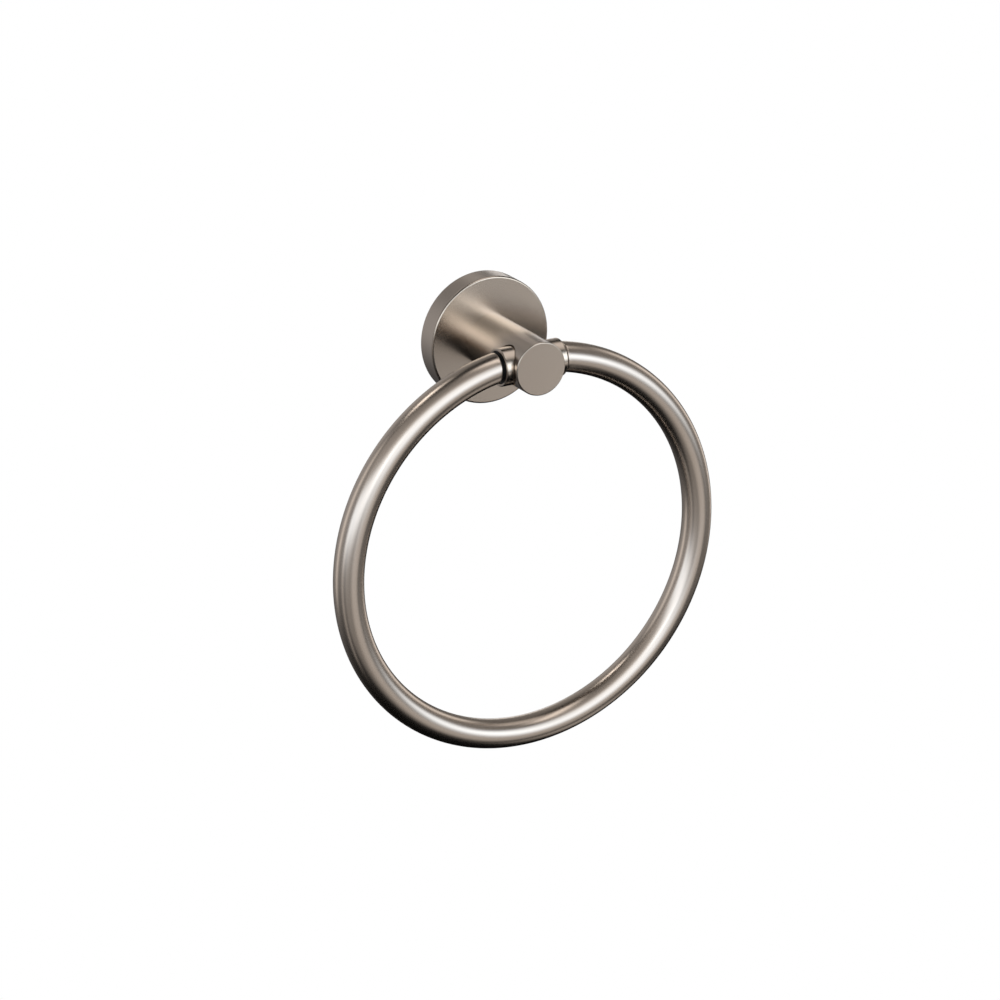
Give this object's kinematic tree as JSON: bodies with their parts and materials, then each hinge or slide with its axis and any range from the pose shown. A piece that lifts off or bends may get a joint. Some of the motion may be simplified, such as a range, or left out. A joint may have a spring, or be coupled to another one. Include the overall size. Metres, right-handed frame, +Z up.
{
  "type": "towel ring",
  "caption": "Wall-mounted towel ring: a round tube ring hangs from a short round post on a round flange and swings on its pivots.",
  "frame": {"origin": "centre of the flange's back, on the face of the wall", "axes": "+X to the right along the wall as seen from the room, +Y into the wall, +Z up"},
  "size_m": [0.1761, 0.0514, 0.1955],
  "materials": {
    "satin_nickel": "fine satin-brushed warm nickel plating",
    "plated_steel": "bright zinc plating",
    "black_nylon": "moulded black nylon"
  },
  "bodies": {
    "fixed_post": {"flange": "satin_nickel", "post": "satin_nickel", "post_screw": "plated_steel", "post_washer": "plated_steel", "wall_bracket": "plated_steel", "set_screw": "plated_steel", "pivot_sleeve": "satin_nickel", "left_bush": "black_nylon", "right_bush": "black_nylon"},
    "swinging_ring": {"ring": "satin_nickel", "left_pivot": "satin_nickel", "right_pivot": "satin_nickel"}
  },
  "joints": [
    {"name": "ring_swing", "type": "hinge", "parent": "fixed_post", "child": "swinging_ring", "pos_m": [0, -0.0413, 0], "axis": [-1, 0, 0], "range_deg": [-12, 192]}
  ]
}
